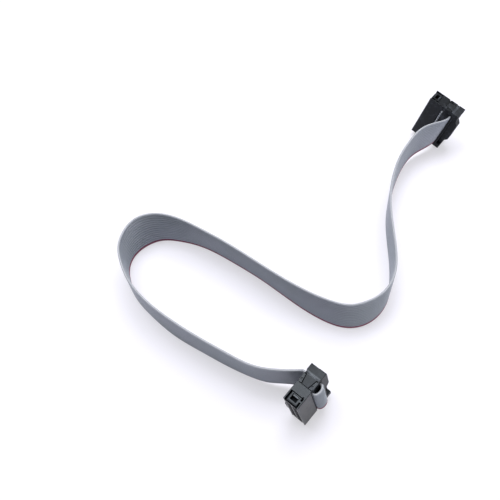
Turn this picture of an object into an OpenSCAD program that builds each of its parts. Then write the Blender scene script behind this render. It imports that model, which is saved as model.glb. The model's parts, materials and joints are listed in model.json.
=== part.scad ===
/* [Ribbon] */
// Distance from one conductor of the ribbon to the next
conductor_pitch = 1.27; // [1.2:0.01:1.3]
// Thickness of the ribbon over its conductors
ribbon_t = 0.9; // [0.7:0.05:1]
// Thickness of the ribbon at its rounded side edges
ribbon_edge_t = 0.5; // [0.3:0.05:0.6]
// How far in from each side edge the ribbon reaches its full thickness
ribbon_edge_w = 0.3; // [0.2:0.05:0.5]
// Straight length between the socket's side and the round of a fold
fold_straight = 0.15; // [0.1:0.05:0.4]
// How far the round of a fold's mid-line stands out beyond that
fold_bulge = 1.3; // [1.2:0.05:1.6]
// Straight length of ribbon just outside each connector
exit_straight = 0.4; // [0.3:0.1:0.8]

/* [Socket body] */
// Width of a connector across its two rows of contacts
socket_w = 6.1; // [5.8:0.1:6.6]
// Distance from the last contact in a row to the end face
end_wall = 3.55; // [3.4:0.05:4]
// Depth of the body from the mating face to the ribbon
body_d = 6.9; // [6.6:0.05:7.4]
// Side of each square entry hole
entry_side = 1.05; // [0.9:0.05:1.2]
// Side of the sloping mouth of each entry hole, in the mating face
mouth_side = 2; // [1.6:0.05:2.1]
// Depth of the sloping mouth
mouth_d = 0.4; // [0.2:0.05:0.5]
// Depth of the square entry holes
entry_d = 0.9; // [0.6:0.1:1.2]
// Width of a contact chamber along the row
chamber_l = 1.9; // [1.8:0.05:2]
// Width of a contact chamber across the rows
chamber_w = 1.5; // [1.4:0.05:1.6]

/* [Polarising key] */
// Length of the key along the rows
key_l = 4; // [3:0.1:4.5]
// How far the key stands out of the body's side
key_h = 1; // [0.8:0.1:1.2]
// Length of the key from the mating face
key_d = 5.4; // [4:0.1:6]
// Chamfer at the key's leading edge
key_chamfer = 0.2; // [0.1:0.05:0.5]

/* [End pockets] */
// Depth of the pocket in each end face of the body
pocket_h = 1.1; // [0.8:0.05:1.2]
// Length of the pocket from the mating face
pocket_d = 3.8; // [3.7:0.05:4]
// Wall left at each side of the pocket
pocket_wall = 0.5; // [0.4:0.05:0.7]
// Depth of the two deep slots beside the raised frame
slot_h = 2; // [1.4:0.1:2.2]
// Start of the raised frame in the pocket, from the mating face
frame_d0 = 0.4; // [0.3:0.05:0.6]
// End of the raised frame in the pocket, from the mating face
frame_d1 = 3.55; // [3.4:0.05:3.65]
// Width of the raised frame across the rows
frame_w = 3.8; // [3.5:0.1:4]
// Start of the bridge that joins the frame to the pocket's wall, from the mating face
bridge_d0 = 2.1; // [1.8:0.1:2.2]
// End of the bridge, from the mating face
bridge_d1 = 2.7; // [2.5:0.1:2.9]
// Start of the latch window, from the mating face
window_d0 = 1.2; // [1:0.05:1.3]
// End of the latch window, from the mating face
window_d1 = 3.2; // [3:0.05:3.25]
// Width of the latch window across the rows
window_w = 2.5; // [2.4:0.1:2.6]

/* [Cover] */
// Depth of the cover between its two layers of ribbon
cover_d = 3.2; // [2.9:0.05:3.6]
// Depth of the open notch at both long edges of each seam
seam_notch = 0.25; // [0.2:0.05:0.5]
// Width of the open groove along each seam between body and cover
seam_w = 0.25; // [0.15:0.05:0.3]
// Depth of that groove
seam_d = 0.45; // [0.3:0.05:0.6]
// Thickness of the latch legs that hold the cover to the body
leg_t = 0.6; // [0.5:0.05:0.7]
// Width of the latch legs across the rows
leg_w = 2.2; // [2:0.1:2.3]
// How far the hook stands out of its leg
hook_h = 1.25; // [1.1:0.05:1.3]
// Length of the hook along its leg
hook_d = 0.55; // [0.4:0.05:0.7]
// Distance from the end face to a latch leg's outer side
leg_inset = 1.35; // [1.25:0.05:1.45]

/* [Strain relief] */
// Depth of the strain relief behind the ribbon
relief_d = 2.8; // [2.5:0.05:3.2]
// How far its sides step in between the end blocks
relief_step = 1.5; // [1:0.1:1.8]
// Width of the tongues that clip over the cover's ends, where they leave the strain relief
tongue_w = 4; // [3.8:0.1:4.2]
// Width of the tongues at their tips
tongue_tip_w = 2.4; // [2.2:0.1:2.8]
// Thickness of the tongues
tongue_t = 0.9; // [0.7:0.05:1.1]
// Open gap at each side of the tongues
tongue_gap = 0.2; // [0.15:0.05:0.25]
// Depth of the line scored across the foot of the tongues
score = 0.2; // [0.1:0.05:0.3]
// Length of the raised rib on the back
rib_l = 13; // [10:0.1:13.5]
// Height of the raised rib on the back
rib_h = 1.4; // [0.6:0.1:1.6]
// Length of the sloping run at each end of the rib
rib_slope = 2; // [1:0.1:2.5]

/* [Contacts] */
// Thickness of the contact strip
strip_t = 0.3; // [0.25:0.01:0.35]
// Width of the fork that bites the ribbon
fork_w = 1; // [0.9:0.02:1.06]
// Width of the slot that grips a conductor
slot_w = 0.3; // [0.2:0.02:0.4]
// How far the fork's tips stand beyond the ribbon
tip_h = 0.5; // [0.3:0.05:0.8]
// Distance from the mating face to the contact's tips
contact_d0 = 1; // [0.9:0.05:1.4]
// Distance from the mating face to the contact's base
contact_d1 = 4.1; // [3.8:0.1:4.4]
// Width of the two springs across the rows
spring_w = 0.9; // [0.7:0.05:1.1]
// Gap between the springs where they grip a pin
grip_gap = 0.6; // [0.5:0.02:0.64]
// Distance from the springs' tips to where they grip a pin
grip_d = 0.6; // [0.4:0.05:0.8]
// Depth of the base that joins the springs
base_d = 0.5; // [0.4:0.05:0.6]
// Depth of the shoulder that carries the fork
shoulder_d = 0.4; // [0.3:0.05:0.5]
// Length of the points at the fork's tips
point_d = 0.4; // [0.2:0.05:0.5]
// Clearance between a contact and its chamber
contact_clearance = 0.05; // [0.03:0.01:0.1]

/* [Moulding marks] */
// Radius of the shallow round marks at the seam in the cover's end faces
mark_r = 0.35; // [0.25:0.05:0.4]
// Depth of the marks
mark_h = 0.35; // [0.2:0.05:0.5]
// Distance from the marks to the cover's edges
mark_inset = 0.8; // [0.7:0.05:0.9]
// Side of the small square reliefs at the tongue's corners
nick = 0.4; // [0.2:0.05:0.5]

/* [Fits] */
// Clearance between parts that slide together
fit = 0.05; // [0.03:0.01:0.08]

/* [Lay of the cable] */
// Lean of connector A from the vertical, in degrees
lean_a = 8; // [0:0.5:10]
// Lean of connector B from the vertical, in degrees
lean_b = 11; // [0:0.5:14]

/* [Hidden] */

// A socket has two rows of seven contacts, one to each of the ribbon's 14 conductors.
// A socket's own frame: x runs from the mating face to the back, y across the two rows,
// z along the rows. The polarising key is on the side of high y.
columns = 7;
conductors = 2 * columns;
pin_pitch = 2 * conductor_pitch;
ribbon_w = conductors * conductor_pitch;
socket_l = (columns - 1) * pin_pitch + 2 * end_wall;
mid_y = socket_w / 2;
mid_z = socket_l / 2;
ribbon_z = (socket_l - ribbon_w) / 2;
cover_x = body_d + ribbon_t;
relief_x = cover_x + cover_d + ribbon_t;
back_x = relief_x + relief_d;
low_layer_x = body_d + ribbon_t / 2;
high_layer_x = relief_x - ribbon_t / 2;
cut = 0.5;

function pin_z(column) = mid_z + (column - (columns - 1) / 2) * pin_pitch;
function row_y(row) = mid_y + (row - 0.5) * pin_pitch;
function fork_shift(row) = (row - 0.5) * conductor_pitch;

// ---- Places of the two sockets ----
// Each is [x, y] on the surface where the ribbon leaves it at half its width, heading, lean,
// lean direction, and the side that the ribbon leaves by: 0 for low y, 1 for high y.
places = [
    [[32.5, 58.1], -40, lean_a, -40, 0],
    [[-32.8, -56.2], 48, lean_b, 180, 1]];
A = 0;
B = 1;

function turn_z(p, a) = [p[0] * cos(a) - p[1] * sin(a), p[0] * sin(a) + p[1] * cos(a), p[2]];
function turn_y(p, a) = [p[0] * cos(a) + p[2] * sin(a), p[1], p[2] * cos(a) - p[0] * sin(a)];
function turned(c, p) = turn_z(turn_y(turn_z(p, places[c][1] - places[c][3]), places[c][2]), places[c][3]);
function exit_side(c) = places[c][4] * socket_w;
function out_of(c) = 2 * places[c][4] - 1;
function exit_point(c) = [high_layer_x, exit_side(c), mid_z];
function lowest(c) = min([for (x = [0, back_x], y = [0, socket_w]) turned(c, [x, y, 0])[2]]);
function lay_offset(c) = let (shift = concat(places[c][0], [0]) - turned(c, exit_point(c)))
    [shift[0], shift[1], -lowest(c)];

// The part's origin is on the surface, at the middle of the box round the two sockets.
extremes = concat(
    [for (x = [0, back_x], y = [0, socket_w], z = [0, socket_l]) [x, y, z]],
    [for (y = [relief_step, socket_w - relief_step], z = [rib_slope - rib_l / 2, rib_l / 2 - rib_slope])
        [back_x + rib_h, y, mid_z + z]],
    [for (x = [key_chamfer, key_d], z = [-key_l / 2, key_l / 2]) [x, socket_w + key_h, mid_z + z]]);
function middle(values) = (min(values) + max(values)) / 2;
function lay_values(axis) = [for (c = [A, B], p = extremes) (turned(c, p) + lay_offset(c))[axis]];
origin = [middle(lay_values(0)), middle(lay_values(1)), 0];
function offset_of(c) = lay_offset(c) - origin;
function placed(c, p) = turned(c, p) + offset_of(c);

module place(c) {
    translate(offset_of(c))
        rotate([0, 0, places[c][3]]) rotate([0, places[c][2], 0]) rotate([0, 0, places[c][1] - places[c][3]])
            children();
}

// ---- Socket body ----
module block(x0, x1, y0, y1, z0, z1) {
    translate([x0, y0, z0]) cube([x1 - x0, y1 - y0, z1 - z0]);
}

module both_ends() {
    children();
    translate([0, 0, socket_l]) mirror([0, 0, 1]) children();
}

// A shallow round mark in the end face at low z
module end_mark(x, y) {
    translate([x, y, -cut]) cylinder(h = cut + mark_h, r = mark_r, $fn = 12);
}

// What stands in the end of a ribbon slot, beside the ribbon
module end_post(x0, x1) {
    block(x0, x1, seam_notch, socket_w - seam_notch, 0, ribbon_z - fit);
}

module key() {
    translate([0, socket_w, mid_z - key_l / 2]) linear_extrude(key_l)
        polygon([[0, -cut], [key_d, -cut], [key_d, key_h], [key_chamfer, key_h], [0, key_h - key_chamfer]]);
}

// The sloping mouth of an entry hole, which guides a pin in
module entry_mouth() {
    wide = 2 * mouth_side - entry_side;
    translate([-mouth_d, 0, 0]) rotate([0, 90, 0])
        linear_extrude(2 * mouth_d, scale = entry_side / wide) square(wide, center = true);
}

module chamber(row, column) {
    entry = entry_side / 2;
    fork = fork_w / 2 + fit;
    blade = strip_t / 2 + fit;
    translate([0, row_y(row), pin_z(column)]) {
        block(-cut, entry_d + cut, -entry, entry, -entry, entry);
        entry_mouth();
        block(entry_d, body_d + cut, -chamber_w / 2, chamber_w / 2, -chamber_l / 2, chamber_l / 2);
        translate([0, 0, fork_shift(row)]) block(contact_d1, body_d + cut, -blade, blade, -fork, fork);
    }
}

module end_pocket() {
    side = (socket_w - frame_w) / 2;
    window = window_w / 2;
    leg = leg_w / 2 + fit;
    difference() {
        union() {
            block(-cut, pocket_d, pocket_wall, socket_w - pocket_wall, -cut, pocket_h);
            for (y = [pocket_wall, socket_w - side])
                block(-cut, frame_d1, y, y + side - pocket_wall, -cut, slot_h);
            block(frame_d1 - nick, pocket_d + nick, side - nick, side, -cut, pocket_h);
        }
        block(frame_d0, frame_d1, side, socket_w - side, -2 * cut, slot_h + cut);
        block(bridge_d0, bridge_d1, 0, mid_y, -2 * cut, slot_h + cut);
    }
    block(window_d0, window_d1, mid_y - window, mid_y + window, -cut, leg_inset + cut);
    block(window_d0, body_d + cut, mid_y - leg, mid_y + leg, leg_inset - fit, leg_inset + leg_t + fit);
}

module socket_body() {
    color("dimgray") difference() {
        union() {
            block(0, body_d, 0, socket_w, 0, socket_l);
            both_ends() end_post(body_d - cut, low_layer_x);
            key();
        }
        for (row = [0, 1], column = [0:columns - 1]) chamber(row, column);
        both_ends() {
            end_pocket();
            block(low_layer_x - seam_w, low_layer_x + cut, -cut, socket_w + cut, -cut, seam_d);
        }
        for (y = [-cut, socket_w - seam_d]) translate([0, 0, ribbon_z - fit])
            block(body_d - seam_w, body_d + cut, y, y + seam_d + cut, 0, ribbon_w + 2 * fit);
    }
}

// ---- Cover ----
// A tongue of the strain relief, or the recess for one in the cover, which is wider by the gap
module tongue(tip_x, gap, depth) {
    tip = tongue_tip_w / 2 + gap;
    foot = tongue_w / 2 + gap;
    foot_x = cover_x + cover_d;
    translate([0, mid_y, 0]) linear_extrude(depth)
        polygon([[tip_x, -tip], [foot_x, -foot], [relief_x + cut, -foot],
            [relief_x + cut, foot], [foot_x, foot], [tip_x, tip]]);
}

module latch_leg() {
    hook_x = window_d1 - fit;
    low = mid_y - leg_w / 2;
    high = mid_y + leg_w / 2;
    block(hook_x - hook_d, cover_x + cut, low, high, leg_inset, leg_inset + leg_t);
    block(hook_x - hook_d, hook_x, low, high, leg_inset - hook_h, leg_inset + leg_t);
}

module fork_slot(row, column) {
    fork = fork_w / 2 + fit;
    blade = strip_t / 2 + fit;
    translate([0, row_y(row), pin_z(column) + fork_shift(row)])
        block(cover_x - cut, cover_x + tip_h + fit, -blade, blade, -fork, fork);
}

module socket_cover() {
    foot = tongue_w / 2 + tongue_gap;
    color("dimgray") difference() {
        union() {
            block(cover_x, cover_x + cover_d, 0, socket_w, 0, socket_l);
            both_ends() {
                end_post(low_layer_x + fit, cover_x + cut);
                latch_leg();
            }
        }
        both_ends() {
            translate([0, 0, -cut]) tongue(low_layer_x - cut, tongue_gap, cut + tongue_t + fit);
            for (y = [mark_inset, socket_w - mark_inset]) end_mark(cover_x + mark_inset, y);
            for (y = [mid_y - foot - nick, mid_y + foot])
                block(cover_x + cover_d - nick, relief_x, y, y + nick, -cut, tongue_t);
        }
        for (row = [0, 1], column = [0:columns - 1]) fork_slot(row, column);
    }
}

// ---- Strain relief ----
module strain_relief() {
    color("dimgray") difference() {
        union() {
            block(relief_x, back_x, 0, socket_w, 0, socket_l);
            both_ends() {
                end_post(cover_x + cover_d + fit, relief_x + cut);
                tongue(low_layer_x + fit, 0, tongue_t);
            }
            back_rib();
        }
        for (y = [-relief_step, socket_w - relief_step])
            block(relief_x + ribbon_t, back_x + cut, y, y + 2 * relief_step, ribbon_z, socket_l - ribbon_z);
        both_ends() block(cover_x + cover_d, cover_x + cover_d + score, -cut, socket_w + cut, -cut, score);
    }
}

module back_rib() {
    end = rib_l / 2;
    top = end - rib_slope;
    translate([back_x, relief_step, mid_z]) rotate([-90, 0, 0]) linear_extrude(socket_w - 2 * relief_step)
        polygon([[-cut, -end], [0, -end], [rib_h, -top], [rib_h, top], [0, end], [-cut, end]]);
}

// ---- Contacts ----
// A contact is one stamping: two springs that grip a pin, a base, and a fork for a conductor.
module spring(half) {
    grip_x = contact_d0 + grip_d;
    root_x = contact_d1 + base_d / 2;
    polygon([[contact_d0, half], [grip_x, grip_gap / 2 + strip_t], [contact_d1, half], [root_x, half],
        [root_x, half - strip_t], [grip_x, grip_gap / 2], [contact_d0, half - strip_t]]);
}

module tine() {
    tip_x = cover_x + tip_h;
    polygon([[contact_d1, slot_w / 2], [tip_x - point_d, slot_w / 2], [tip_x, (slot_w + fork_w) / 4],
        [tip_x - point_d, fork_w / 2], [contact_d1, fork_w / 2]]);
}

module contact_strip(row) {
    half = chamber_l / 2 - contact_clearance;
    shift = fork_shift(row);
    shoulder_x = contact_d1 + base_d + shoulder_d;
    rotate([-90, 0, 0]) mirror([0, 1, 0]) {
        linear_extrude(spring_w, center = true) {
            block_plan(contact_d1, contact_d1 + base_d, -half, half);
            for (side = [0, 1]) mirror([0, side, 0]) spring(half);
        }
        linear_extrude(strip_t, center = true) {
            block_plan(contact_d1, shoulder_x, min(-half, shift - fork_w / 2), max(half, shift + fork_w / 2));
            translate([0, shift]) for (side = [0, 1]) mirror([0, side, 0]) tine();
        }
    }
}

module block_plan(x0, x1, y0, y1) {
    translate([x0, y0]) square([x1 - x0, y1 - y0]);
}

// Contacts are numbered along the ribbon's edge: odd ones in the low row, even ones in the high row.
module contact(c, number) {
    row = (number + 1) % 2;
    column = floor((number - 1) / 2);
    color("gold") place(c) translate([0, row_y(row), pin_z(column)]) contact_strip(row);
}

// ---- Ribbon ----
// The route is the line at half the ribbon's width. Each point of the open stretch is
// [x, y, height of the lower edge, lean in x, lean in y], where the lean is how far the
// upper edge stands beyond the lower edge. It runs from connector A to connector B.
open_route = [
    [27.0, 54.5, 2.5, 1.0, -0.5], [20.5, 51.0, 2.0, 0, 0.5], [15.5, 45.5, 1.0, -0.5, 0.5],
    [11.0, 38.0, 0.4, -1.5, 0.5], [7.0, 28.0, 0, -2.0, 0.5], [4.5, 18.0, 0, -2.0, 0.5],
    [3.5, 5.0, 0, -2.0, 0], [3.0, -8.5, 0, -1.5, 0.5], [0, -20.5, 0, -1.0, 1.5],
    [-4.5, -26.5, 0, -1.0, 2.0], [-10.5, -30.0, 0, -0.5, 2.5], [-17.0, -31.0, 0, 0, 1.5],
    [-24.0, -29.0, 0, 0, 0.5], [-34.5, -23.0, 0, -0.5, -1.0], [-48.0, -13.0, 0, -1.5, -2.0],
    [-61.5, -3.5, 0, -1.0, -2.0], [-73.5, 3.5, 0, -0.5, -1.5], [-82.5, 7.0, 0, 0, 0.5],
    [-90.5, 8.0, 0, -1.0, 2.0], [-97.0, 5.5, 0, -2.0, 2.5], [-101.0, 0.5, 0, -1.5, 1.5],
    [-102.5, -6.0, 0, -1.0, 0.5], [-101.0, -13.0, 0, -0.5, 0], [-97.5, -20.0, 0, -0.5, -0.5],
    [-91.0, -27.5, 0, -0.5, -1.0], [-82.0, -35.0, 0, -0.5, -0.5], [-71.0, -42.0, 0, -0.5, -1.0],
    [-59.5, -48.5, 0.1, -1.0, -1.0], [-48.0, -53.5, 1.0, -1.0, -1.0], [-36.0, -55.0, 3.0, 0, -0.5]];

// Height at which the leaning lower edge just meets the surface
edge_rest = 0.05;
function lean_height(q) = sqrt(ribbon_w * ribbon_w - q[3] * q[3] - q[4] * q[4]);
function open_centre(q) = [q[0], q[1], q[2] + edge_rest + lean_height(q) / 2] - origin;
function open_width(q) = [q[3], q[4], lean_height(q)] / ribbon_w;

// Stations are [centre, direction of the ribbon's width].
function socket_width(c) = turned(c, [0, 0, 1]);
function station(c, x, y) = [placed(c, [x, y, mid_z]), socket_width(c)];
fold_r = (high_layer_x - low_layer_x) / 2;
fold_steps = 5;
function fold_point(c, i) = let (a = 180 * i / fold_steps, far = socket_w - exit_side(c))
    station(c, (low_layer_x + high_layer_x) / 2 - fold_r * cos(a),
        far - out_of(c) * (fold_straight + fold_bulge * sin(a)));
function inside(c) = concat(
    [station(c, low_layer_x, exit_side(c))],
    [station(c, low_layer_x, socket_w - exit_side(c))],
    [for (i = [0:fold_steps]) fold_point(c, i)],
    [station(c, high_layer_x, socket_w - exit_side(c))],
    [station(c, high_layer_x, exit_side(c))]);
function reversed(list) = [for (i = [len(list) - 1:-1:0]) list[i]];

// The open stretch is a smooth curve through its points, with one extra ring in each span.
knots = concat(
    [station(A, high_layer_x, exit_side(A))],
    [station(A, high_layer_x, exit_side(A) + out_of(A) * exit_straight)],
    [for (q = open_route) [open_centre(q), open_width(q)]],
    [station(B, high_layer_x, exit_side(B) + out_of(B) * exit_straight)],
    [station(B, high_layer_x, exit_side(B))]);
function knot(i) = knots[max(0, min(len(knots) - 1, i))];
function halfway(i, k) = (9 * (knot(i)[k] + knot(i + 1)[k]) - knot(i - 1)[k] - knot(i + 2)[k]) / 16;
open_stations = [for (i = [1:len(knots) - 2]) each (i == len(knots) - 2)
    ? [knots[i]] : [knots[i], [halfway(i, 0), halfway(i, 1)]]];
stations = concat(inside(A), open_stations, reversed(inside(B)));

ring_plan = [
    [-ribbon_w / 2, -ribbon_edge_t / 2], [-ribbon_w / 2, ribbon_edge_t / 2],
    [ribbon_edge_w - ribbon_w / 2, ribbon_t / 2], [ribbon_w / 2 - ribbon_edge_w, ribbon_t / 2],
    [ribbon_w / 2, ribbon_edge_t / 2], [ribbon_w / 2, -ribbon_edge_t / 2],
    [ribbon_w / 2 - ribbon_edge_w, -ribbon_t / 2], [ribbon_edge_w - ribbon_w / 2, -ribbon_t / 2]];
sides = len(ring_plan);
last = len(stations) - 1;
function unit(v) = v / norm(v);
function along(i) = let (before = max(0, i - 1), after = min(last, i + 1))
    (i == 0 || i == last) ? stations[after][0] - stations[before][0]
    : unit(stations[after][0] - stations[i][0]) + unit(stations[i][0] - stations[before][0]);
function across(i) = unit(cross(along(i), stations[i][1]));
function ring(i) = [for (p = ring_plan) stations[i][0] + p[0] * unit(stations[i][1]) + p[1] * across(i)];

module ribbon() {
    points = [for (i = [0:last]) each ring(i)];
    skin = [for (i = [0:last - 1], s = [0:sides - 1]) let (a = i * sides + s, b = i * sides + (s + 1) % sides)
        each [[a, b, b + sides], [a, b + sides, a + sides]]];
    start = [for (s = [1:sides - 2]) [0, s + 1, s]];
    end = [for (s = [1:sides - 2]) [last * sides, last * sides + s, last * sides + s + 1]];
    color("gray") polyhedron(points, concat(skin, start, end));
}

module connector_a_body() { place(A) socket_body(); }
module connector_a_cover() { place(A) socket_cover(); }
module connector_a_strain_relief() { place(A) strain_relief(); }
module connector_b_body() { place(B) socket_body(); }
module connector_b_cover() { place(B) socket_cover(); }
module connector_b_strain_relief() { place(B) strain_relief(); }

ribbon();
connector_a_body();
connector_a_cover();
connector_a_strain_relief();
connector_b_body();
connector_b_cover();
connector_b_strain_relief();
contact(A, 1);  // contact_a_01
contact(A, 2);  // contact_a_02
contact(A, 3);  // contact_a_03
contact(A, 4);  // contact_a_04
contact(A, 5);  // contact_a_05
contact(A, 6);  // contact_a_06
contact(A, 7);  // contact_a_07
contact(A, 8);  // contact_a_08
contact(A, 9);  // contact_a_09
contact(A, 10);  // contact_a_10
contact(A, 11);  // contact_a_11
contact(A, 12);  // contact_a_12
contact(A, 13);  // contact_a_13
contact(A, 14);  // contact_a_14
contact(B, 1);  // contact_b_01
contact(B, 2);  // contact_b_02
contact(B, 3);  // contact_b_03
contact(B, 4);  // contact_b_04
contact(B, 5);  // contact_b_05
contact(B, 6);  // contact_b_06
contact(B, 7);  // contact_b_07
contact(B, 8);  // contact_b_08
contact(B, 9);  // contact_b_09
contact(B, 10);  // contact_b_10
contact(B, 11);  // contact_b_11
contact(B, 12);  // contact_b_12
contact(B, 13);  // contact_b_13
contact(B, 14);  // contact_b_14
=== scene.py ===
"""A 14-way ribbon cable with a two-row socket at each end, lying on its edge on a pale floor."""
import json
from math import cos, pi, radians, sin, sqrt

import bmesh
import bpy
from mathutils import Matrix, Vector


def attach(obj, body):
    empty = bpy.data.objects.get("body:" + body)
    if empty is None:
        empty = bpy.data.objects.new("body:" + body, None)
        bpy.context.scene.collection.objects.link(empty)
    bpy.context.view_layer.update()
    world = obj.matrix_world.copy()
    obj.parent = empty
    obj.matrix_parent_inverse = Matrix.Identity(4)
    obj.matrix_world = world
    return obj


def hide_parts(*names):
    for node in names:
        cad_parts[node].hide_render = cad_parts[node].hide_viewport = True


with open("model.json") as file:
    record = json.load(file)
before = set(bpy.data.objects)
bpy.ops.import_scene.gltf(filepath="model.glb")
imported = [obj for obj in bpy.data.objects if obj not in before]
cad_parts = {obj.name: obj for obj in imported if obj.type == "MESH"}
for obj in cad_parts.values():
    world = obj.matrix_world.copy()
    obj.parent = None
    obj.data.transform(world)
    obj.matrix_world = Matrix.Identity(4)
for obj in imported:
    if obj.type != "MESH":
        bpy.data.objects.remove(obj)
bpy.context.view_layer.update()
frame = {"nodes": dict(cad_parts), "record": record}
record = frame["record"]
scene = bpy.context.scene
bpy.ops.object.select_all(action="DESELECT")

# ---- Camera, which looks down at 60 degrees ----
camera = bpy.data.objects.new("camera", bpy.data.cameras.new("camera"))
scene.collection.objects.link(camera)
camera.location = (-0.05181, -0.11410, 0.200)
camera.rotation_euler = (radians(30), 0, 0)
camera.data.sensor_width = 36
camera.data.lens = 40.1
camera.data.clip_start = 0.005
camera.data.clip_end = 20
scene.camera = camera

# ---- Sizes, in metres ----
MM = 0.001
PITCH = 1.27 * MM
CONDUCTORS = 14
RIBBON_W = CONDUCTORS * PITCH
RIBBON_T = 0.9 * MM
WEB_T = 0.38 * MM
SOCKET_W = 6.1 * MM
SOCKET_L = 22.34 * MM
BODY_D = 6.9 * MM
COVER_X = BODY_D + RIBBON_T
COVER_D = 3.2 * MM
RELIEF_X = COVER_X + COVER_D + RIBBON_T
RELIEF_D = 2.8 * MM
BACK_X = RELIEF_X + RELIEF_D
LOW_LAYER_X = BODY_D + RIBBON_T / 2
HIGH_LAYER_X = RELIEF_X - RIBBON_T / 2
MID_Y = SOCKET_W / 2
MID_Z = SOCKET_L / 2
FOLD_STRAIGHT = 0.15 * MM
FOLD_BULGE = 1.3 * MM
EXIT_STRAIGHT = 0.4 * MM
EDGE_REST = 0.05 * MM
STRAND_R = 0.0635 * MM
WIRES = 7
EDGE_ROUNDING = 0.16 * MM
INNER_EDGE_SHARE = 0.35
SHARP_ANGLE = radians(25)
FACE_STRIP = 0.4 * MM
SKIN = 0.3 * MM
TOUCH = 0.01 * MM
# Numbers of a moulding's extra finishes: worn end faces, paler as a painted highlight, and holes, darker as
# painted shade.
WEAR_AND_HIGHLIGHT, UNPOLISHED_SHADE = 1, 2


# ---- Places of the two sockets ----
class Socket:
    """Where one socket lies. Its own x runs from the mating face to the back, y across the two
    rows of contacts and z along them. The ribbon leaves it on the low or the high side of y."""

    def __init__(self, letter, heading, lean, lean_direction, exit_side):
        self.letter = letter
        self.turn = (Matrix.Rotation(radians(lean_direction), 3, "Z")
                     @ Matrix.Rotation(radians(lean), 3, "Y")
                     @ Matrix.Rotation(radians(heading - lean_direction), 3, "Z"))
        face = next(m for m in record["mounts"] if m["name"] == f"socket_{letter}_face")
        self.offset = Vector(face["pos_m"]) - self.turn @ Vector((0, MID_Y, MID_Z))
        self.exit_y = exit_side * SOCKET_W
        self.far_y = SOCKET_W - self.exit_y
        self.outwards = 2 * exit_side - 1
        self.width = self.turn @ Vector((0, 0, 1))

    def at(self, x, y, z=MID_Z):
        return self.offset + self.turn @ Vector((x, y, z))

    def matrix(self):
        return Matrix.Translation(self.offset) @ self.turn.to_4x4()

    def station(self, x, y):
        return self.at(x, y), self.width

    def folded_run(self, steps=28):
        """Stations of the ribbon from its cut end, round the cover, to where it leaves the socket."""
        run = [self.station(LOW_LAYER_X, self.exit_y), self.station(LOW_LAYER_X, MID_Y),
               self.station(LOW_LAYER_X, self.far_y)]
        middle = (LOW_LAYER_X + HIGH_LAYER_X) / 2
        radius = (HIGH_LAYER_X - LOW_LAYER_X) / 2
        for step in range(steps + 1):
            angle = pi * step / steps
            out = FOLD_STRAIGHT + FOLD_BULGE * sin(angle)
            run.append(self.station(middle - radius * cos(angle), self.far_y - self.outwards * out))
        run += [self.station(HIGH_LAYER_X, self.far_y), self.station(HIGH_LAYER_X, MID_Y),
                self.station(HIGH_LAYER_X, self.exit_y)]
        return run


socket_a = Socket("a", -40, 8, -40, 0)
socket_b = Socket("b", 48, 11, 180, 1)

# ---- Ribbon ----
# Each point of the open stretch, from socket A to socket B: [x, y, height of the lower edge,
# lean in x, lean in y], where the lean is how far the upper edge stands beyond the lower one.
OPEN_ROUTE = [
    [0.0270, 0.0545, 0.0025, 0.0010, -0.0005], [0.0205, 0.0510, 0.0020, 0, 0.0005],
    [0.0155, 0.0455, 0.0010, -0.0005, 0.0005], [0.0110, 0.0380, 0.0004, -0.0015, 0.0005],
    [0.0070, 0.0280, 0, -0.0020, 0.0005], [0.0045, 0.0180, 0, -0.0020, 0.0005],
    [0.0035, 0.0050, 0, -0.0020, 0], [0.0030, -0.0085, 0, -0.0015, 0.0005],
    [0, -0.0205, 0, -0.0010, 0.0015], [-0.0045, -0.0265, 0, -0.0010, 0.0020],
    [-0.0105, -0.0300, 0, -0.0005, 0.0025], [-0.0170, -0.0310, 0, 0, 0.0015],
    [-0.0240, -0.0290, 0, 0, 0.0005], [-0.0345, -0.0230, 0, -0.0005, -0.0010],
    [-0.0480, -0.0130, 0, -0.0015, -0.0020], [-0.0615, -0.0035, 0, -0.0010, -0.0020],
    [-0.0735, 0.0035, 0, -0.0005, -0.0015], [-0.0825, 0.0070, 0, 0, 0.0005],
    [-0.0905, 0.0080, 0, -0.0010, 0.0020], [-0.0970, 0.0055, 0, -0.0020, 0.0025],
    [-0.1010, 0.0005, 0, -0.0015, 0.0015], [-0.1025, -0.0060, 0, -0.0010, 0.0005],
    [-0.1010, -0.0130, 0, -0.0005, 0], [-0.0975, -0.0200, 0, -0.0005, -0.0005],
    [-0.0910, -0.0275, 0, -0.0005, -0.0010], [-0.0820, -0.0350, 0, -0.0005, -0.0005],
    [-0.0710, -0.0420, 0, -0.0005, -0.0010], [-0.0595, -0.0485, 0.0001, -0.0010, -0.0010],
    [-0.0480, -0.0535, 0.0010, -0.0010, -0.0010], [-0.0360, -0.0550, 0.0030, 0, -0.0005]]
# Where the ribbon leaves socket A, in the axes of the points above
LAY_EXIT_A = Vector((0.0325, 0.0581, 0))


def open_knots():
    """The points that the open stretch passes through, with the direction of its width at each."""
    exit_a = socket_a.at(HIGH_LAYER_X, socket_a.exit_y)
    origin = Vector((LAY_EXIT_A.x - exit_a.x, LAY_EXIT_A.y - exit_a.y, 0))
    knots = []
    for x, y, low, lean_x, lean_y in OPEN_ROUTE:
        rise = sqrt(RIBBON_W ** 2 - lean_x ** 2 - lean_y ** 2)
        knots.append((Vector((x, y, low + EDGE_REST + rise / 2)) - origin,
                      Vector((lean_x, lean_y, rise)) / RIBBON_W))
    for socket, place in ((socket_a, 0), (socket_b, len(knots) + 1)):
        beyond = socket.exit_y + socket.outwards * EXIT_STRAIGHT
        knots.insert(place, socket.station(HIGH_LAYER_X, beyond))
    return [socket_a.station(HIGH_LAYER_X, socket_a.exit_y)] + knots + [
        socket_b.station(HIGH_LAYER_X, socket_b.exit_y)]


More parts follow.
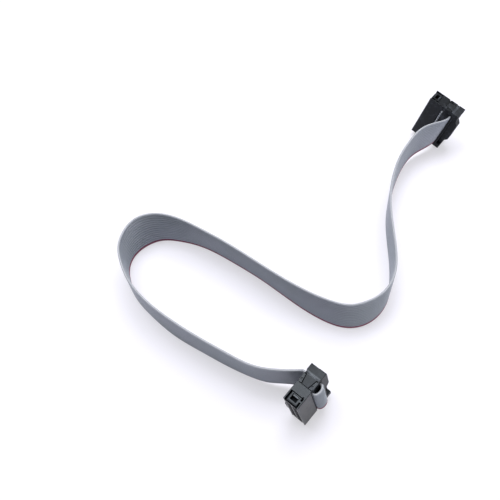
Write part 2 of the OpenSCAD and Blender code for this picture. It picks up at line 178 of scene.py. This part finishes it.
def spline_slopes(places, values, first, last):
    """Slopes at the knots of the smoothest cubic curve with the given slopes at its two ends."""
    count = len(places)
    upper, right = [0.0] * count, [first] * count
    for i in range(1, count - 1):
        before, after = places[i] - places[i - 1], places[i + 1] - places[i]
        wanted = 3 * ((values[i] - values[i - 1]) * (after / before)
                      + (values[i + 1] - values[i]) * (before / after))
        pivot = 2 * (before + after) - after * upper[i - 1]
        upper[i] = before / pivot
        right[i] = (wanted - after * right[i - 1]) / pivot
    slopes = [last] * count
    for i in range(count - 2, -1, -1):
        slopes[i] = right[i] - upper[i] * slopes[i + 1]
    return slopes


def between(places, values, slopes, place):
    """The curve's value at one place."""
    i = max(j for j in range(len(places) - 1) if places[j] <= place)
    span = places[i + 1] - places[i]
    t = (place - places[i]) / span
    return (values[i] * (1 + 2 * t) * (1 - t) ** 2 + slopes[i] * (span * t * (1 - t) ** 2)
            + values[i + 1] * (t * t * (3 - 2 * t)) + slopes[i + 1] * (span * t * t * (t - 1)))


def open_run(longest=1.15 * MM, shortest=0.35 * MM, growth=1 / 8):
    """Stations of the open stretch on one smooth curve, closest together beside the sockets."""
    centres, widths = zip(*open_knots())
    places = [0.0]
    for before, after in zip(centres, centres[1:]):
        places.append(places[-1] + (after - before).length)
    out_a = socket_a.turn @ Vector((0, socket_a.outwards, 0))
    out_b = socket_b.turn @ Vector((0, socket_b.outwards, 0))
    centre_slopes = spline_slopes(places, centres, out_a, -out_b)
    width_slopes = spline_slopes(places, widths, Vector(), Vector())
    run = []
    place = shortest
    while place < places[-1] - shortest / 2:
        run.append((between(places, centres, centre_slopes, place),
                    between(places, widths, width_slopes, place).normalized()))
        place += min(longest, shortest + min(place, places[-1] - place) * growth)
    return run


def ribbon_profile():
    """The ribbon's section, as (place across the width, height over its middle plane)."""
    half = RIBBON_T / 2
    slope = [(0, half), (0.24 * MM, 0.86 * half), (0.42 * MM, 0.47 * half)]
    ridge = [(-0.5 * PITCH, WEB_T / 2)] + [(-v, h) for v, h in slope[:0:-1]] + slope
    edge = [(0, 0.0), (0.06 * MM, 0.45 * half), (0.2 * MM, 0.72 * half), (0.4 * MM, 0.93 * half)]
    middle = 0.5 * PITCH
    top = edge + [(middle + v, h) for v, h in slope]
    for number in range(1, CONDUCTORS - 1):
        top += [((number + 0.5) * PITCH + v, h) for v, h in ridge]
    top += [(RIBBON_W - v, h) for v, h in reversed(top[:7])]
    top.insert(-7, (RIBBON_W - PITCH, WEB_T / 2))
    top = [(v - RIBBON_W / 2, h) for v, h in top]
    return top + [(v, -h) for v, h in reversed(top[1:-1])]


def swept_ribbon(stations, profile):
    """One closed mesh along the stations, which keeps how far along and across each point is."""
    count, sides = len(stations), len(profile)
    along, points, lay = 0.0, [], []
    for i, (centre, width) in enumerate(stations):
        before = centre - stations[i - 1][0] if i else None
        after = stations[i + 1][0] - centre if i + 1 < count else None
        along += before.length if before else 0
        steps = [step.normalized() for step in (before, after) if step]
        out = sum(steps, Vector()).cross(width).normalized()
        for v, h in profile:
            points.append(centre + width * v + out * h)
            lay.append((along, v + RIBBON_W / 2, h))
    faces = [[i * sides + s, i * sides + (s + 1) % sides,
              (i + 1) * sides + (s + 1) % sides, (i + 1) * sides + s]
             for i in range(count - 1) for s in range(sides)]
    half = sides // 2
    for first, flip in ((0, False), ((count - 1) * sides, True)):
        caps = [[0, 1, sides - 1], [half - 1, half, half + 1]]
        caps += [[s, s + 1, sides - s - 1, sides - s] for s in range(1, half - 1)]
        faces += [[first + s for s in (cap[::-1] if flip else cap)] for cap in caps]
    mesh = bpy.data.meshes.new("ribbon_cable")
    mesh.from_pydata(points, [], faces)
    attribute = mesh.attributes.new("ribbon_lay", "FLOAT_VECTOR", "POINT")
    for i, value in enumerate(lay):
        attribute.data[i].vector = value
    piece = bpy.data.objects.new("ribbon_cable", mesh)
    scene.collection.objects.link(piece)
    return piece


stations = socket_a.folded_run() + open_run() + socket_b.folded_run()[::-1]
ribbon = swept_ribbon(stations, ribbon_profile())


# ---- Finishes ----
class Shade:
    """A socket of a finish's nodes, on which Python's arithmetic adds Math nodes."""

    def __init__(self, tree, socket=None):
        self.tree = tree
        self.socket = socket

    def node(self, kind, settings=None, inputs=None, output=0):
        """Adds any node: its settings first, then the values or links of its sockets."""
        node = self.tree.nodes.new(kind)
        for name, value in (settings or {}).items():
            if name == "stops":
                for _ in value[2:]:
                    node.color_ramp.elements.new(0.5)
                for stop, (place, colour) in zip(node.color_ramp.elements, value):
                    stop.position = place
                    stop.color = (*colour, 1)
            else:
                setattr(node, name, value)
        for name, value in (inputs or {}).items():
            if isinstance(value, Shade):
                self.tree.links.new(value.socket, node.inputs[name])
            else:
                node.inputs[name].default_value = value
        return Shade(self.tree, node.outputs[output] if node.outputs else None)

    def math(self, operation, *values):
        return self.node("ShaderNodeMath", {"operation": operation}, dict(enumerate(values)))

    def __add__(self, other):
        return self.math("ADD", self, other)

    def __sub__(self, other):
        return self.math("SUBTRACT", self, other)

    def __mul__(self, other):
        return self.math("MULTIPLY", self, other)

    def __rsub__(self, other):
        return self.math("SUBTRACT", other, self)

    __radd__ = __add__
    __rmul__ = __mul__

    def over(self, low, high):
        """0 below low and 1 above high, with a soft step between."""
        return self.node("ShaderNodeMapRange", {"interpolation_type": "SMOOTHSTEP"},
                         {"Value": self, "From Min": low, "From Max": high})

    def noise(self, where, scale, detail=2.0, roughness=0.5):
        return self.node("ShaderNodeTexNoise", None,
                         {"Vector": where, "Scale": scale, "Detail": detail, "Roughness": roughness})

    def blend(self, amount, low, high):
        """The colour low where amount is 0, and the colour high where it is 1. On this node socket
        0 is the factor, 6 and 7 are the two colours, and output 2 is their mix."""
        return self.node("ShaderNodeMix", {"data_type": "RGBA"}, {0: amount, 6: low, 7: high}, 2)

    def bump(self, height, distance, strength=1.0, normal=None):
        inputs = {"Height": height, "Distance": distance, "Strength": strength}
        if normal:
            inputs["Normal"] = normal
        return self.node("ShaderNodeBump", None, inputs)

    def surface(self, **inputs):
        """The finish itself. Inputs are named as the Principled sockets, with _ for a space."""
        named = {name.replace("_", " "): value for name, value in inputs.items()}
        shader = self.node("ShaderNodeBsdfPrincipled", None, named)
        self.node("ShaderNodeOutputMaterial", None, {"Surface": shader})


def new_finish(name):
    material = bpy.data.materials.new(name)
    material.use_nodes = True
    material.node_tree.nodes.clear()
    return material, Shade(material.node_tree)


def ribbon_finish():
    """Grey flexible PVC, satin, with the first conductor printed red on one face."""
    material, shade = new_finish("grey_pvc_ribbon")
    lay = shade.node("ShaderNodeAttribute", {"attribute_name": "ribbon_lay"}, output="Vector")
    split = shade.node("ShaderNodeSeparateXYZ", None, {0: lay})
    across = Shade(split.tree, split.socket.node.outputs["Y"])
    height = Shade(split.tree, split.socket.node.outputs["Z"])
    here = shade.node("ShaderNodeTexCoord", output="Object")

    drawn = shade.node("ShaderNodeVectorMath", {"operation": "MULTIPLY"}, {0: lay, 1: (60, 9000, 0)})
    lines = shade.noise(drawn, 1, 3)
    cloud = shade.noise(here, 55, 3)
    grain = shade.noise(here, 2600, 2)
    handled = shade.noise(here, 160, 4, 0.6).over(0.56, 0.72)

    grey = shade.blend(cloud.over(0.3, 0.7), (0.255, 0.29, 0.325, 1), (0.295, 0.32, 0.37, 1))
    # Painted shade: the grooves between the conductors are darker.
    groove = 1 - height.math("ABSOLUTE", height).over(0.2 * MM, 0.4 * MM)
    grey = shade.blend(groove * 0.3, grey, (0.17, 0.18, 0.205, 1))
    grey = shade.blend(handled * 0.16, grey, (0.42, 0.43, 0.455, 1))
    # The top edge is paler: a painted highlight of the light from above.
    top_edge_highlight = across.over(RIBBON_W - 0.35 * MM, RIBBON_W - 0.1 * MM)
    grey = shade.blend(top_edge_highlight, grey, (0.335, 0.35, 0.39, 1))
    far_face = height.over(-0.1 * MM, 0.1 * MM)
    ragged = across + (shade.noise(lay, 420, 3) - 0.5) * (0.3 * MM) + far_face * (1.0 * MM)
    printed = 1 - ragged.over(1.05 * MM, 1.17 * MM)
    red = shade.blend(shade.noise(here, 900, 3).over(0.35, 0.7),
                      (0.17, 0.02, 0.06, 1), (0.24, 0.045, 0.1, 1))
    colour = shade.blend(printed, grey, red)

    relief = shade.bump(lines, 0.02 * MM, 0.5)
    relief = shade.bump(grain, 0.01 * MM, 0.35, relief)
    shade.surface(Base_Color=colour, Roughness=0.26 + lines * 0.1 + handled * 0.12 + groove * 0.1,
                  Normal=relief, IOR=1.5)
    return material


def plastic_finish(name, paleness, roughness, gloss=0.24):
    """Black glass-filled plastic, matt from the mould, with pale scuffs."""
    material, shade = new_finish(name)
    here = shade.node("ShaderNodeTexCoord", output="Object")
    flow = shade.noise(here, 130, 4, 0.6)
    fibre = shade.noise(here, 1900, 3, 0.6)
    eroded = shade.noise(here, 6500, 2)
    scuffed = (shade.noise(here, 420, 5, 0.65) + flow * 0.5).over(0.74, 0.95)

    dark, mid, fibres, scuff = ([tone * paleness for tone in tones] + [1] for tones in (
        (0.004, 0.0045, 0.006), (0.008, 0.009, 0.012), (0.018, 0.02, 0.026), (0.055, 0.06, 0.073)))
    black = shade.blend(flow.over(0.35, 0.7), dark, mid)
    black = shade.blend(fibre.over(0.55, 0.75) * 0.5, black, fibres)
    black = shade.blend(scuffed * 0.5, black, scuff)
    relief = shade.bump(flow, 0.03 * MM, 0.4)
    relief = shade.bump(eroded + fibre * 0.6, 0.012 * MM, 0.5, relief)
    shade.surface(Base_Color=black, Roughness=roughness + fibre * 0.12 + scuffed * 0.1, Normal=relief,
                  IOR=1.5, Specular_IOR_Level=gloss, Specular_Tint=(0.84, 0.92, 1, 1))
    return material


def metal_finish(name, bright, dull):
    """Thin bright plating, a little uneven."""
    material, shade = new_finish(name)
    here = shade.node("ShaderNodeTexCoord", output="Object")
    tarnish = shade.noise(here, 700, 3).over(0.4, 0.75)
    colour = shade.blend(tarnish * 0.6, bright, dull)
    relief = shade.bump(shade.noise(here, 5200, 2), 0.006 * MM, 0.4)
    shade.surface(Base_Color=colour, Metallic=1.0, Roughness=0.24 + tarnish * 0.16, Normal=relief)
    return material


def floor_finish():
    """A pale sheet that meets the white of the backdrop, and keeps the soft shadows."""
    material, shade = new_finish("pale_sheet")
    here = shade.node("ShaderNodeTexCoord", output="Object")
    pale = shade.blend(shade.noise(here, 12, 2), (0.81, 0.8, 0.93, 1), (0.83, 0.82, 0.95, 1))
    sheet = shade.node("ShaderNodeBsdfPrincipled", None, {
        "Base Color": pale, "Roughness": 1.0, "Specular IOR Level": 0.1})
    glow = shade.node("ShaderNodeEmission", None, {"Color": (0.99, 0.985, 1, 1), "Strength": 1.0})
    path = shade.node("ShaderNodeLightPath").socket.node
    seen = Shade(shade.tree, path.outputs["Is Camera Ray"]) + Shade(shade.tree, path.outputs["Is Glossy Ray"])
    away = shade.node("ShaderNodeVectorMath", {"operation": "LENGTH"}, {0: here}, "Value")
    # The glow's share is 0.52 round the cable and rises to 1 at 0.4 m from the middle
    share = seen * (0.52 + away.over(0.12, 0.4) * 0.48)
    shade.node("ShaderNodeOutputMaterial", None, {
        "Surface": shade.node("ShaderNodeMixShader", None, {0: share, 1: sheet, 2: glow})})
    return material


# ---- Pieces ----
def in_edit_mode(piece, *steps):
    """Runs the steps in edit mode, each with all of the piece selected."""
    bpy.ops.object.select_all(action="DESELECT")
    piece.select_set(True)
    bpy.context.view_layer.objects.active = piece
    bpy.ops.object.mode_set(mode="EDIT")
    for step in steps:
        bpy.ops.mesh.select_all(action="SELECT")
        step()
    bpy.ops.object.mode_set(mode="OBJECT")
    piece.select_set(False)


def moulded(node, socket, finish, hull, wear_and_highlight_band):
    """A copy of a CAD moulding, with its outer edges rounded and its inner ones just broken.
    Between the two depths given last, the faces at its two ends are rubbed, and paler as a painted
    highlight. Its holes are not polished, and darker as painted shade. Its three finishes are in
    the order that the finish numbers 1 and 2 count in."""
    source = bpy.data.objects[node]
    piece = bpy.data.objects.new(node + "_moulding", source.data.copy())
    scene.collection.objects.link(piece)
    piece.data.materials.clear()
    for each in (finish, wear_and_highlight, unpolished_shade):
        piece.data.materials.append(each)
    in_edit_mode(piece, lambda: bpy.ops.mesh.remove_doubles(threshold=0.001 * MM),
                 lambda: bpy.ops.mesh.dissolve_limited(angle_limit=radians(1)),
                 lambda: bpy.ops.mesh.bisect(plane_co=socket.at(wear_and_highlight_band[1], 0),
                                             plane_no=socket.turn @ Vector((1, 0, 0))),
                 lambda: bpy.ops.mesh.normals_make_consistent(inside=False))
    mesh = bmesh.new()
    mesh.from_mesh(piece.data)
    weight = mesh.edges.layers.float.new("bevel_weight_edge")
    own = socket.matrix().inverted()
    for edge in mesh.edges:
        if len(edge.link_faces) == 2 and edge.is_convex and edge.calc_face_angle() > SHARP_ANGLE:
            ends = [own @ vertex.co for vertex in edge.verts]
            walls = sum(all(abs(end[axis] - wall) < TOUCH for end in ends)
                        for axis, pair in enumerate(hull) for wall in pair)
            edge[weight] = 1.0 if walls > 1 else INNER_EDGE_SHARE
    for face in mesh.faces:
        corners = [own @ vertex.co for vertex in face.verts]
        at_wear_and_highlight_end = (all(wear_and_highlight_band[0] - TOUCH < corner.x < wear_and_highlight_band[1] + TOUCH for corner in corners)
                       and all(abs(corner.z - MID_Z) > MID_Z - SKIN for corner in corners))
        in_hole = (all(corner.x < LOW_LAYER_X + TOUCH and abs(corner.y - MID_Y) < MID_Y - SKIN
                       and abs(corner.z - MID_Z) < MID_Z - 2 * SKIN for corner in corners)
                   and any(TOUCH < corner.x < BODY_D - 0.1 * MM for corner in corners))
        # Rubbed end faces, paler and glossier: wear, and a painted highlight.
        if at_wear_and_highlight_end:
            face.material_index = WEAR_AND_HIGHLIGHT
        # Faces deep in the holes: matt, and darker and less reflective as painted shade.
        elif in_hole:
            face.material_index = UNPOLISHED_SHADE
    mesh.to_mesh(piece.data)
    mesh.free()
    bevel = piece.modifiers.new("rounding", "BEVEL")
    bevel.limit_method = "WEIGHT"
    bevel.width = EDGE_ROUNDING
    bevel.segments = 3
    bevel.use_clamp_overlap = False
    bpy.context.view_layer.objects.active = piece
    bpy.ops.object.modifier_apply(modifier="rounding")
    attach(piece, "root")
    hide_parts(node)


def strand_ends(socket):
    """The cut ends of the 14 stranded conductors, seven thin wires to each."""
    bpy.ops.mesh.primitive_cylinder_add(vertices=8, radius=STRAND_R, depth=4 * STRAND_R)
    strand = bpy.context.object
    mesh = strand.data
    bpy.ops.object.mode_set(mode="EDIT")
    bpy.ops.mesh.select_all(action="DESELECT")
    bpy.ops.object.mode_set(mode="OBJECT")
    for face in mesh.polygons:
        face.select = face.normal.z > 0.9
    bpy.ops.object.mode_set(mode="EDIT")
    bpy.ops.mesh.select_mode(type="FACE")
    bpy.ops.mesh.inset(thickness=0.35 * STRAND_R)
    bpy.ops.transform.translate(value=(0, 0, 0.2 * STRAND_R))
    bpy.ops.object.mode_set(mode="OBJECT")
    strand.select_set(False)
    outwards = Matrix.Rotation(-socket.outwards * pi / 2, 4, "X")
    low = MID_Z - RIBBON_W / 2
    copies = []
    for number in range(CONDUCTORS):
        centre = Matrix.Translation((LOW_LAYER_X, socket.exit_y, low + (number + 0.5) * PITCH))
        for wire in range(WIRES):
            copy = bpy.data.objects.new("strand", mesh.copy())
            scene.collection.objects.link(copy)
            angle = wire * pi / 3 + number
            spread = 2.05 * STRAND_R if wire else 0
            offset = Matrix.Translation((spread * cos(angle), spread * sin(angle), -1.6 * STRAND_R))
            copy.matrix_world = socket.matrix() @ centre @ outwards @ offset
            copies.append(copy)
    bpy.data.objects.remove(strand)
    for copy in copies:
        copy.select_set(True)
    bpy.context.view_layer.objects.active = copies[0]
    bpy.ops.object.join()
    bpy.ops.object.transform_apply()
    piece = bpy.context.object
    piece.name = f"strand_ends_{socket.letter}"
    piece.data.materials.clear()
    piece.data.materials.append(tinned)
    piece.select_set(False)
    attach(piece, "root")


ribbon.data.materials.append(ribbon_finish())
in_edit_mode(ribbon, lambda: bpy.ops.mesh.normals_make_consistent(inside=False),
             lambda: bpy.ops.mesh.faces_shade_smooth())
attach(ribbon, "root")
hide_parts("ribbon")

plastic = plastic_finish("black_glass_filled_plastic", 1.0, 0.24, 0.18)
relief_plastic = plastic_finish("strain_relief_plastic", 1.0, 0.4)
# Paler and glossier: wear on the end faces, and a painted highlight.
wear_and_highlight = plastic_finish("plastic_edge_wear_and_painted_highlight", 2.9, 0.34, 0.43)
# Matt, and darker and less reflective inside the holes: painted shade.
unpolished_shade = plastic_finish("unpolished_plastic_hole_painted_shade", 0.9, 0.6, 0.07)
contact_metal = metal_finish("gold_plated_contact", (0.80, 0.58, 0.26, 1), (0.52, 0.33, 0.13, 1))
tinned = metal_finish("tinned_copper_strand", (0.66, 0.63, 0.60, 1), (0.45, 0.36, 0.28, 1))
for socket in (socket_a, socket_b):
    start = f"connector_{socket.letter}_"
    sides, ends = (0, SOCKET_W), (0, SOCKET_L)
    # The last pair of depths bounds the worn end faces, paler as a painted highlight.
    moulded(start + "body", socket, plastic, ((0, BODY_D), sides, ends), (0, FACE_STRIP))
    moulded(start + "cover", socket, plastic, ((COVER_X, RELIEF_X - RIBBON_T), sides, ends), (0, BODY_D))
    moulded(start + "strain_relief", socket, relief_plastic, ((RELIEF_X, BACK_X), sides, ends),
            (COVER_X, RELIEF_X))
    strand_ends(socket)
for name in frame["nodes"]:
    if name.startswith("contact"):
        bpy.data.objects[name].material_slots[0].material = contact_metal

# ---- Floor, light and backdrop ----
bpy.ops.mesh.primitive_plane_add(size=8)
floor = bpy.context.object
floor.name = "floor"
floor.data.materials.append(floor_finish())
floor.select_set(False)

world = bpy.data.worlds.new("studio")
scene.world = world
world.use_nodes = True
world.node_tree.nodes.clear()
air = Shade(world.node_tree)
ray = air.node("ShaderNodeLightPath").socket.node
shown = Shade(air.tree, ray.outputs["Is Camera Ray"]) + Shade(air.tree, ray.outputs["Is Glossy Ray"])
shown = shown + Shade(air.tree, ray.outputs["Is Transmission Ray"])
# White where it is seen, and dimmer where it lights the cable
strength = 0.28 + shown.math("MINIMUM", shown, 1) * 0.72
air.node("ShaderNodeOutputWorld", None, {"Surface": air.node(
    "ShaderNodeBackground", None, {"Color": (1, 1, 1, 1), "Strength": strength})})


def soft_lamp(name, place, aim, size, power):
    lamp = bpy.data.lights.new(name, "AREA")
    lamp.shape = "SQUARE"
    lamp.size = size
    lamp.energy = power
    holder = bpy.data.objects.new(name, lamp)
    scene.collection.objects.link(holder)
    holder.location = place
    holder.rotation_euler = (Vector(aim) - Vector(place)).to_track_quat("-Z", "Y").to_euler()


soft_lamp("back_light", (0, 0.3, 0.8), (-0.02, 0, 0), 0.4, 4.9)
soft_lamp("left_light", (-0.27, 0.12, 0.75), (-0.02, 0, 0), 0.3, 3.3)
soft_lamp("side_light", (0.8, -0.05, 0.35), (-0.02, -0.02, 0), 0.45, 2.4)

scene.view_settings.view_transform = "Standard"
